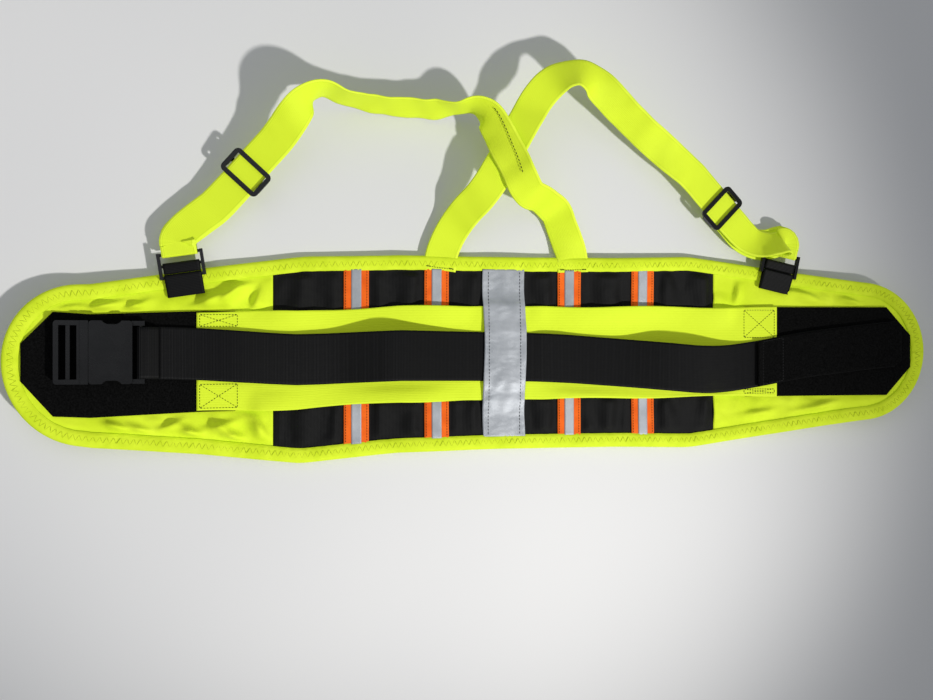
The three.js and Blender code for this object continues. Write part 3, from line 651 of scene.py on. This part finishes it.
def foam_pad():
    """The foam layer, with a shallow pocket over each stay."""
    def top(x, y):
        near = min(abs(x - t) for t in TAPE_XS)
        return 2.85 if near < 6.6 and abs(y) < 75.6 else 4.9
    edges = [t + s for t in TAPE_XS for s in (-6.7, -6.5, 6.5, 6.7)]
    xs = sorted(set(belt_xs(-500, 500, EDGE_INSET, 8) + edges))
    points, thick = [], []
    for x in xs:
        reach = half_height(x, EDGE_INSET)
        ys = [-reach + 2 * reach * i / 40 for i in range(41)]
        points.append([(x, y + sag(x), 1.6 + drape(x, y)) for y in ys])
        thick.append([(0, 0, (top(x, y) - 1.6)) for y in ys])
    obj = thick_sheet("foam_layer", points, 1.0, foam, None, np.array(thick))
    place(obj, "belt", "foam", "foam_core")


def belt_body():
    patch_end = -HALF_PANEL - 130
    flat = lambda z: (lambda x, y: z)
    belt_sheet("inner_lining", patch_end + GAP, 500, WINDOW_INSET, flat(0), 1.1, lining, "lining_fabric",
               8, 24)
    belt_sheet("closure_hook_patch", -500, patch_end, WINDOW_INSET, flat(0), 1.1, hook_black,
               "hook_fabric", 6, 24)
    foam_pad()
    belt_sheet("back_panel", -HALF_PANEL, HALF_PANEL, EDGE_INSET, lambda x, y: 5.3 + gathers(x, y), 1.1,
               panel_weave, "panel_weave", 1.6, 110)
    belt_sheet("left_wing", -500, -HALF_PANEL - GAP, EDGE_INSET, lambda x, y: 5.3 + puckers(x, y), 1.1,
               wing_cloth, "wing_fabric", 2.0, 110)
    belt_sheet("right_wing", HALF_PANEL + GAP, 500, EDGE_INSET, lambda x, y: 5.3 + puckers(x, y), 1.1,
               wing_cloth, "wing_fabric", 2.0, 110)
    for i in range(4):
        nodes[f"stay_{i + 1}"].data.materials.clear()
        nodes[f"stay_{i + 1}"].data.materials.append(steel)


def outline(step=2.5):
    """The belt's edge, counter-clockwise from the right tip, corners eased."""
    def half(sign):
        pts = []
        for a in range(0, 40):
            t = math.pi / 2 * (1 - a / 40)
            x = TIP_START + TIP * math.sin(t)
            pts.append((x, sign * (HALF_HEIGHT - TIP_DROP) * math.cos(t)))
        pts += [(x, sign * half_height(x)) for x in spaced(-TIP_START, TIP_START, 4)[::-1]]
        for a in range(1, 40):
            t = math.pi / 2 * a / 40
            pts.append((-TIP_START - TIP * math.sin(t), sign * (HALF_HEIGHT - TIP_DROP) * math.cos(t)))
        return pts
    pts = half(1) + half(-1)[::-1]
    p = even(pts + [pts[0]], step)[:-1]
    for _ in range(10):
        p = 0.5 * p + 0.25 * (np.roll(p, 1, 0) + np.roll(p, -1, 0))
    return p


def edge_binding():
    """A padded tape folded round the edge, zigzag stitched."""
    p = outline()
    run = np.roll(p, -1, 0) - np.roll(p, 1, 0)
    run /= np.linalg.norm(run, axis=1, keepdims=True)
    inward = np.stack([-run[:, 1], run[:, 0]], axis=1)
    # the tape's section: distance in from the edge, height
    section = [(14.4, 0.25), (9, 0.0), (3.4, 0.0), (1.2, 0.7), (0.1, 2.3), (-0.3, 4.2), (0.0, 6.3),
               (1.2, 8.0), (3.6, 8.9), (7.0, 9.1), (11.0, 8.7), (14.4, 8.0), (14.7, 7.4), (14.4, 6.9),
               (8, 6.8), (3, 6.8), (1.35, 6.4), (1.25, 4.0), (1.35, 1.7), (3, 1.25), (9, 1.25), (14.4, 1.3)]
    arc_length = np.concatenate([[0], np.cumsum(np.linalg.norm(np.diff(p, axis=0), axis=1))])
    verts, uv = [], []
    n, m = len(p), len(section)
    widths = np.concatenate([[0], np.cumsum([math.dist(a, b) for a, b in zip(section, section[1:])])])
    for i in range(n):
        s = arc_length[i]
        wobble = 0.45 * noise.noise(Vector((s / 9, 3.1, 0)))
        for k, (u, z) in enumerate(section):
            x, y = p[i] + inward[i] * (u + (wobble * 0.8 if u > 10 else 0.0))
            on_top = 1.0 if 6 <= k <= 12 else 0.0
            tucks = math.sin(2 * math.pi * s / 5.2 + (math.pi if u > 8 else 0))
            puff = on_top * (0.5 * noise.noise(Vector((s / 6, u / 6, 1))) * smooth(0, 5, u)
                             + 0.35 * tucks * smooth(2, 6, u))
            verts.append((x, y + sag(x), z + min(0.0, puff) * 1.4 + drape(x, y)))
            uv.append((s, widths[k]))
    faces = []
    for i in range(n):
        for k in range(m):
            a, b = i * m + k, i * m + (k + 1) % m
            c, d = ((i + 1) % n) * m + (k + 1) % m, ((i + 1) % n) * m + k
            faces.append((a, b, c, d))
    obj = make_object("edge_binding_tape", verts, faces, binding_tape, uv)
    place(obj, "belt", "binding_tape", "edge_binding")
    # zigzag stitches: a V every few millimetres between two edge lines
    parts = []
    pitch = 3.0
    centre = even(np.vstack([p, p[:1]]), pitch)
    run = np.gradient(centre, axis=0)
    run /= np.linalg.norm(run, axis=1, keepdims=True)
    side = np.stack([-run[:, 1], run[:, 0]], axis=1)
    for i in range(len(centre) - 1):
        a = centre[i] + side[i] * (5.0 if i % 2 else 11.2)
        b = centre[i + 1] + side[i + 1] * (11.2 if i % 2 else 5.0)
        pair = []
        for q, u in ((a, 5.0 if i % 2 else 11.2), (b, 11.2 if i % 2 else 5.0)):
            z = 9.0 - max(0.0, u - 7.0) * 0.1 + drape(q[0], q[1])
            pair.append((q[0], q[1] + sag(q[0]), z))
        parts.append(pair)
    place(sew("binding_zigzag_thread", parts, yellow_thread, 0.98, 0.25), "belt", "binding_tape")


def tapes():
    for i, x0 in enumerate(TAPE_XS):
        reach = half_height(x0, WINDOW_INSET) + 1.5
        wave = lambda x, y: 0.35 * (1 + ripple(x * 0.3, y, 11 + i, 14))
        xs = list(np.linspace(x0 - 12.5, x0 + 12.5, 14))
        tape = layer(f"orange_tape_{i + 1}_cloth", xs, lambda x: -reach, lambda x: reach,
                     lambda x, y: 6.75 + wave(x, y), 0.6, orange_tape, 130)
        place(tape, "belt", "orange_tape", f"orange_tape_{i + 1}")
        xs = list(np.linspace(x0 - 5, x0 + 5, 8))
        stripe = layer(f"silver_stripe_{i + 1}_cloth", xs, lambda x: -reach, lambda x: reach,
                       lambda x, y: 7.45 + wave(x, y), 0.35, silver_tape, 130)
        place(stripe, "belt", "reflective_tape", f"silver_stripe_{i + 1}")
        parts = []
        for dx in (-10.6, 10.6):
            path = [(x0 + dx, y + sag(x0 + dx)) for y in (-reach + 2, reach - 2)]
            parts += stitches(path, lambda x, y: 7.45 + wave(x, y - sag(x)) + drape(x, y - sag(x)), 2.8)
        place(sew(f"tape_stitches_{i + 1}", parts, black_thread), "belt", "orange_tape")


# ---- bands, pull tabs and webbing ----
def closures():
    for side, s in (("left", -1), ("right", 1)):
        span = lambda a, b, step: spaced(-b, -a, step) if s < 0 else spaced(a, b, step)
        marks = [s * (TAB_END - TAB_CLIP)]
        xs = sorted(span(TAB_START, TAB_END, 3) + marks)
        tab = layer(f"pull_tab_{side}_cloth", xs, lambda x: -tab_half(x), tab_half, lambda x, y: 7.9, 1.15,
                    hook_black, 50)
        place(tab, "belt", "hook_fabric", f"pull_tab_{side}")
        xs = sorted(span(TAB_START + 8, TAB_END - 8, 8) + marks)
        pad = layer(f"hook_pad_{side}_cloth", xs, lambda x: -tab_half(x) + 8, lambda x: tab_half(x) - 8,
                    lambda x, y: 6.8, 0.75, hook_black, 16)
        place(pad, "belt", "hook_fabric", f"hook_pad_{side}")
        edge = lambda x: BAND_HALF + 0.9 * math.sin(x / 23 + s) * smooth(24, 50, abs(x))
        band = layer(f"side_pull_{side}_band", span(0.3, BAND_END, 2.5), lambda x: -edge(x), edge,
                     band_level, 1.1, band_elastic, 56)
        place(band, "belt", "elastic_band", f"side_pull_{side}")
        # stitched boxes with a cross, above and below the webbing
        over = lambda x, y: band_level(x, y - sag(x)) + 1.12 + drape(x, y - sag(x))
        box_x = [s * (BAND_END - 3), s * (BAND_END - 38)]
        parts = []
        for y0, y1 in ((-BAND_HALF + 3, -web_gap(s, -1)), (web_gap(s, 1), BAND_HALF - 3)):
            corners = [(box_x[0], y0), (box_x[1], y0), (box_x[1], y1), (box_x[0], y1), (box_x[0], y0)]
            cross = [(corners[0], corners[2]), (corners[1], corners[3])]
            for a, b in list(zip(corners, corners[1:])) + cross:
                path = [(a[0] + (b[0] - a[0]) * t, a[1] + (b[1] - a[1]) * t) for t in (0, .25, .5, .75, 1)]
                parts += stitches([(x, y + sag(x)) for x, y in path], over, 3.0)
        place(sew(f"band_end_stitches_{side}", parts, black_thread), "belt", "elastic_band")


def web_gap(s, end):
    """Where the band's stitched box stops beside the webbing."""
    x = s * (BAND_END - 20)
    middle = web_middle(x)
    return (middle + WEB_HALF + 3) if end > 0 else -(middle - WEB_HALF - 3)


def web_surface(x, v):
    y = web_middle(x) + v * WEB_HALF
    return (x, y + sag(x), web_level(x, v) + drape(x, 0))


def webbing():
    xs = spaced(BAR_X + 16, END_TAB[1] - 6, 2.2)
    vs = np.linspace(-1, 1, 22)
    points = [[web_surface(x, v) for v in vs] for x in xs]
    web = thick_sheet("waist_webbing_band", points, 1.5, black_webbing)
    place(web, "belt", "black_webbing", "waist_webbing")
    xs = spaced(END_TAB[0], END_TAB[1], 2.5)
    lift_end = lambda x: (1.9 + 1.4 * smooth(END_TAB[1] - 30, END_TAB[1], x)
                          + 2.4 * smooth(END_TAB[0] + 9, END_TAB[0], x))
    half = lambda x: WEB_HALF - 0.6 - 0.7 * max(0.0, x - END_TAB[1] + 8)
    points = [[(x, web_middle(x) + sag(x) + v * half(x), web_level(x, v) + drape(x, 0) + lift_end(x))
               for v in vs] for x in xs]
    tab = thick_sheet("webbing_end_tab_cloth", points, 1.6, hook_black)
    place(tab, "belt", "black_webbing", "webbing_end_tab")
    parts = []
    for x0 in (286, 309):
        path = [(x0, web_middle(x0) + sag(x0) + v * 23) for v in (-1, 0, 1)]
        parts += stitches(path, lambda x, y: web_level(x, 0) + drape(x, 0) + 1.9 + 1.65, 3.0)
    for v in (-1, 1):
        path = [(x, web_middle(x) + sag(x) + v * 23) for x in spaced(286, 309, 4)]
        parts += stitches(path, lambda x, y: web_level(x, 0) + drape(x, 0) + 1.9 + 1.65, 3.0)
    place(sew("end_tab_stitches", parts, grey_thread), "belt", "black_webbing")


def centre_strip():
    reach = half_height(0, WINDOW_INSET) + 2
    ys = spaced(-reach, reach, 1.4)
    xs = np.linspace(-22, 22, 34)
    crinkle = lambda x, y: 0.5 * (1 + ripple(x * 1.6, y, 21, 15)) + 0.25 * (1 + ripple(x, y * 2.5, 22, 9))
    edge = lambda x, y: x + 0.8 * math.sin(y / 19 + 1) * abs(x) / 22
    points = [[(edge(x, y), y + sag(x), strip_level(y) + crinkle(x, y) + drape(x, y)) for y in ys]
              for x in xs]
    uv = [[(x, y) for y in ys] for x in xs]
    strip = thick_sheet("center_strip_cloth", points, 0.75, silver_tape, uv)
    place(strip, "belt", "reflective_tape", "center_reflective_strip")
    parts = []
    for dx in (-16.5, 16.5):
        path = [(dx, y + sag(dx)) for y in (-reach + 2, reach - 2)]
        over = lambda x, y: strip_level(y - sag(x)) + crinkle(x, y - sag(x)) + drape(x, y - sag(x)) + 0.78
        parts += stitches(path, over, 3.4)
    place(sew("center_strip_stitches", parts, black_thread, 0.74, 0.34), "belt", "reflective_tape")


belt_body()
edge_binding()
tapes()
closures()
webbing()
centre_strip()


# ---- moulded pieces ----
for name in ("buckle_female", "buckle_male", "prong_upper", "prong_lower", "ring_left", "ring_right",
             "slider_left", "slider_right"):
    nodes[name].data.materials.clear()
    nodes[name].data.materials.append(moulded)
    bevel = nodes[name].modifiers.new("eased_edges", "BEVEL")
    bevel.width, bevel.segments = 0.4 * MM, 2
    bevel.limit_method, bevel.angle_limit = "ANGLE", math.radians(50)
    for face in nodes[name].data.polygons:
        face.use_smooth = False


# ---- ring tabs, rings' loops ----
RINGS = {"left": (-316.0, 9.0), "right": (304.0, -12.0)}
RING_INSET, RING_BAR, RING_PITCH, RING_TAB_THICK, LEG = 5.0, 3.0, 11.0, 1.2, 3.0


def ring_frame(side):
    x, turn = RINGS[side]
    z = 8 + GAP + RING_TAB_THICK + RING_BAR / 2 + GAP + 0.1 + lift(abs(x) + 14)
    return Matrix.Translation((x, half_height(x) + sag(x) - RING_INSET, z)) @ Matrix.Rotation(
        math.radians(90 + turn), 4, "Z")


def arc(cx, cz, r, start, end, steps=14):
    return [(cx + r * math.cos(math.radians(start + (end - start) * i / steps)),
             cz + r * math.sin(math.radians(start + (end - start) * i / steps))) for i in range(steps + 1)]


def folded_strip(name, side_view, thick, width, material, at, rows=16, skew=0.0):
    """A strip of cloth whose side view follows (x, z) points in the frame at."""
    line = even(side_view, 0.9)
    points = []
    for x, z in line:
        row = []
        for v in np.linspace(-width / 2, width / 2, rows):
            q = at @ Vector((x + skew * v, v, z))
            row.append(tuple(q))
        points.append(row)
    points = np.array(points)
    run = np.gradient(points, axis=0)
    up = np.cross(run, np.gradient(points, axis=1))
    up /= np.maximum(1e-9, np.linalg.norm(up, axis=2, keepdims=True))
    return thick_sheet(name, points - up * thick / 2, thick, material)


def ring_tabs():
    for side in RINGS:
        at = ring_frame(side)
        r = RING_BAR / 2 + GAP + RING_TAB_THICK / 2
        view = [(-19, -r), (-2, -r)] + arc(0, 0, r, 270, 450)
        view += [(-6, r - 0.9), (-19, -r + RING_TAB_THICK + 0.2)]
        tab = folded_strip(f"ring_tab_{side}_webbing", view, 1.1, 34.5, black_webbing, at)
        place(tab, "belt", "black_webbing", f"ring_tab_{side}")
        view = [(3.4, -r)] + [(8, -r)] + arc(RING_PITCH, 0, r, 270, 450) + [(8, r - 0.2), (3.4, r - 1.0)]
        wrap = folded_strip(f"ring_wrap_{side}_webbing", view, 1.1, 34.0, black_webbing, at)
        place(wrap, f"ring_{side}", "black_webbing")
        far, loop = 2 * RING_PITCH, RING_BAR / 2 + GAP + STRAP_THICK / 2
        view = [(far + LEG, loop + 0.2), (far + 1, loop)] + arc(far, 0, loop, 90, 270)
        view += [(far + 1, -loop), (far + LEG, -loop)]
        end = folded_strip(f"strap_end_{side}_webbing", view, 1.15, STRAP_WIDTH, strap_elastic, at)
        place(end, f"ring_{side}", "strap_webbing", f"strap_end_{side}")


# ---- shoulder straps ----
# the straps' routes from the belt to the rings: x, y, z, roll in degrees
LEFT_ROUTE = [
    (74, 84, 9.3, 0), (73, 100, 9.8, 0), (66, 118, 11, 20), (60, 131, 13, 30), (53, 144, 18, 34),
    (38, 153, 29, 44), (18, 160, 42, 42), (7, 174, 50, 28), (0, 189, 49.5, 24), (-8, 206, 45.5, 25),
    (-16, 223, 42, 30), (-25, 237, 40, 52), (-37, 244, 34, 76), (-53, 244, 26, 82), (-72, 243, 20, 76),
    (-95, 243, 17.5, 74), (-120, 245, 17.5, 74), (-145, 247, 20, 76), (-164, 249, 28, 82),
    (-180, 250, 38, 84), (-193, 246, 46, 68), (-204, 236, 48, 38), (-214, 223, 43, 14), (-226, 207, 34, 3),
    (-241.5, 190, 28, 0), (-257, 173, 24, 0), (-272.5, 156, 20, 0), (-288, 140, 17.5, 0),
    (-303, 128, 17, 0), (-315, 117, 17, 0)]
RIGHT_ROUTE = [
    (-67, 84, 9.3, 0), (-65, 99, 9.4, 0), (-59, 115, 9.5, 0), (-51, 130, 13, 6), (-41, 144, 23, 6),
    (-31, 155, 30, 4), (-22, 167, 34, 5), (-13, 182, 38, 13), (-4, 200, 41, 23), (6, 219, 44, 22),
    (16, 237, 46, 10), (28, 256, 46, 2), (41, 270, 47, 12), (55, 278, 50, 28), (69, 280, 52, 32),
    (83, 274, 51, 14), (97, 262, 47, -16), (117, 245, 42, -36), (138, 229, 37, -38), (160, 214, 32, -24),
    (182, 199, 28.5, -8), (201.5, 185.5, 25, 0), (218, 169.5, 23, 0), (234.5, 153.5, 21, 0),
    (251, 137.5, 19, 0), (267, 124, 17, 6), (282, 118, 18, 22), (295, 118, 23, 42), (305, 120, 26, 40)]


def curve(points, steps):
    """An even-tempered spline through points (x, y, z, roll), steps samples to each span."""
    p = np.asarray(points, float)
    q = np.vstack([2 * p[0] - p[1], p, 2 * p[-1] - p[-2]])
    out = []
    for i in range(1, len(q) - 2):
        p0, p1, p2, p3 = q[i - 1:i + 3]
        d0, d1, d2 = (max(1e-4, math.dist(a[:3], b[:3])) ** 0.5 for a, b in ((p0, p1), (p1, p2), (p2, p3)))
        t1 = ((p1 - p0) / d0 - (p2 - p0) / (d0 + d1) + (p2 - p1) / d1) * d1
        t2 = ((p2 - p1) / d1 - (p3 - p1) / (d1 + d2) + (p3 - p2) / d2) * d1
        for s in range(steps):
            t = s / steps
            out.append(p1 + t1 * t + (-3 * p1 + 3 * p2 - 2 * t1 - t2) * t * t
                       + (2 * p1 - 2 * p2 + t1 + t2) * t ** 3)
    out.append(p[-1])
    return np.array(out)


def strap_points(route, steps=7, rows=15, width=STRAP_WIDTH, cup=0.35, calm=()):
    """Grid of points on a strap's middle, and its faces; calm lists route points where it lies plain."""
    s = curve(route, steps)
    run = np.gradient(s[:, :3], axis=0)
    run /= np.linalg.norm(run, axis=1, keepdims=True)
    side = np.cross(run, (0, 0, 1.0))
    side /= np.linalg.norm(side, axis=1, keepdims=True)
    up = np.cross(side, run)
    roll = -np.radians(s[:, 3:4])
    side = side * np.cos(roll) + np.cross(run, side) * np.sin(roll)
    face = np.cross(side, run)
    vs = np.linspace(-1, 1, rows)
    grid = s[:, None, :3] + side[:, None, :] * (vs[None, :, None] * width / 2)
    along_strap = np.concatenate([[0], np.cumsum(np.linalg.norm(np.diff(s[:, :3], axis=0), axis=1))])
    swell = np.zeros((len(s), rows))
    if calm:
        for i, d in enumerate(along_strap):
            free = smooth(12, 34, min(abs(d - along_strap[k * steps]) for k in calm))
            for j, v in enumerate(vs):
                swell[i, j] = free * (2.2 * ripple(d, v * 7, 31, 24) + 3.0 * v * ripple(d, 0, 33, 19))
    grid = grid + face[:, None, :] * ((cup * (vs ** 2 - 0.4))[None, :, None] + swell[:, :, None])
    return grid, face


def ring_point(side, along_ring, height):
    at = ring_frame(side)
    return tuple(at @ Vector((along_ring, 0, height))) + (0.0,)


strap_tops = []


def strap_seams():
    """Black stitches where the straps cross and where they are sewn to the belt."""
    crossing = [i for i, row in enumerate(strap_tops[0]) if 176 < row[7][1] < 236 and row[7][0] > -30]
    columns = np.linspace(8.5, 11.5, len(crossing))
    line = [strap_tops[0][i][int(c)] * (1 - c % 1) + strap_tops[0][i][int(c) + 1] * (c % 1)
            for i, c in zip(crossing, columns)]
    parts = stitches(np.array(line) + (0, 0, 0.35), None, 3.6)
    place(sew("crossing_seam", parts, black_thread, 0.82, 0.5), "belt", "strap_webbing")
    parts, bars = [], []
    for grid in strap_tops:
        row = np.array([a + (b - a) * 0.35 for a, b in zip(grid[0], grid[3])])[1:-1]
        parts += stitches(row + (0, 0, 0.1), None, 2.6)
        for end in (row[:3], row[-3:]):
            close = [(q[0], q[1] + 0.7 * (k % 2), q[2] + 0.2) for k, q in enumerate(even(end, 0.5))]
            bars += list(zip(close[:-1], close[1:]))
    place(sew("strap_foot_stitches", parts, black_thread, 0.78, 0.3), "belt", "strap_webbing")
    place(sew("strap_bar_tacks", bars, black_thread, 1.0, 0.32), "belt", "strap_webbing")


def straps():
    reach, loop = 2 * RING_PITCH + LEG + GAP, RING_BAR / 2 + GAP + STRAP_THICK / 2
    for side, route, k in (("left", LEFT_ROUTE, 24), ("right", RIGHT_ROUTE, 22)):
        full = route + [ring_point(side, reach + d, loop + 1.65 + 0.05 * d) for d in (8, 4, -1, -5)]
        calm = (0, 1, 2, k, k + 1, k + 2, len(full) - 5, len(full) - 3, len(full) - 1)
        grid, face = strap_points(full, calm=calm)
        up = np.repeat(face[:, None, :], grid.shape[1], axis=1)
        obj = thick_sheet(f"shoulder_strap_{side}_webbing", grid - up * STRAP_THICK / 2, STRAP_THICK,
                          strap_elastic)
        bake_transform(obj)
        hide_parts(f"shoulder_strap_{side}")
        strap_tops.append(grid + up * (STRAP_THICK / 2 + 0.05))
        low = slider_loop(side, route[k], route[k + 2])
        back = route[27:29] if side == "left" else route[25:28]
        points = [tuple(q) + (0.0,) for q in low] + [(x, y, min(z - 6, 9.5), 0) for x, y, z, _ in back]
        below = -loop
        points += [ring_point(side, reach + d, below - 1.45) for d in (12, 6, 0, -4)]
        grid, face = strap_points(points, 6)
        up = np.repeat(face[:, None, :], grid.shape[1], axis=1)
        obj = thick_sheet(f"strap_return_{side}_webbing", grid - up * STRAP_THICK / 2, STRAP_THICK,
                          strap_elastic)
        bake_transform(obj)
        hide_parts(f"strap_return_{side}")


def slider_loop(side, a, b):
    """The strap's turn round the slider's bar; returns where its return run starts."""
    a, b = Vector(a[:3]), Vector(b[:3])
    run = (b - a).normalized()
    across = run.cross(Vector((0, 0, 1))).normalized()
    face = across.cross(run)
    turn = Matrix((run, -across, face)).transposed().to_4x4()
    at = Matrix.Translation((a + b) / 2) @ turn
    strap_face = STRAP_THICK / 2 + GAP
    bar_top = -strap_face - STRAP_THICK - GAP
    out = STRAP_THICK / 2 + GAP
    top, low = bar_top + out, bar_top - 1.8 - out
    view = [(9, low), (3, low)] + arc(-2, (top + low) / 2, (top - low) / 2, 270, 90)
    view += [(3, top), (6, top - 1.4), (9, low + STRAP_THICK + GAP)]
    loop = folded_strip(f"strap_loop_{side}_webbing", view, 1.1, STRAP_WIDTH, strap_elastic, at)
    place(loop, f"slider_{side}", "strap_webbing", f"strap_loop_{side}")
    return [at @ Vector((u, 0, low)) for u in (9 + GAP, 12, 17)]


def webbing_loop():
    """The webbing's sewn turn round the buckle's web bar."""
    start = BAR_X + 16
    bar_y = web_middle(BAR_X) + sag(BAR_X)
    bar_z = 19.037
    flat = WEB_LOW + lift(start) + on_tab(start) + 0.8 - bar_z
    r = 2 + GAP + 0.8
    view = [(16 - GAP, flat), (7, max(-r, flat) - 0.1)] + arc(0, 0, r, 270, 90)
    view += [(7, r - 0.4), (16 - GAP, flat + 1.6 + 2 * GAP)]
    at = Matrix.Translation((BAR_X, bar_y, bar_z))
    loop = folded_strip("webbing_loop_cloth", view, 1.5, 49.2, black_webbing, at)
    place(loop, "belt", "black_webbing", "webbing_loop")


ring_tabs()
straps()
strap_seams()
webbing_loop()
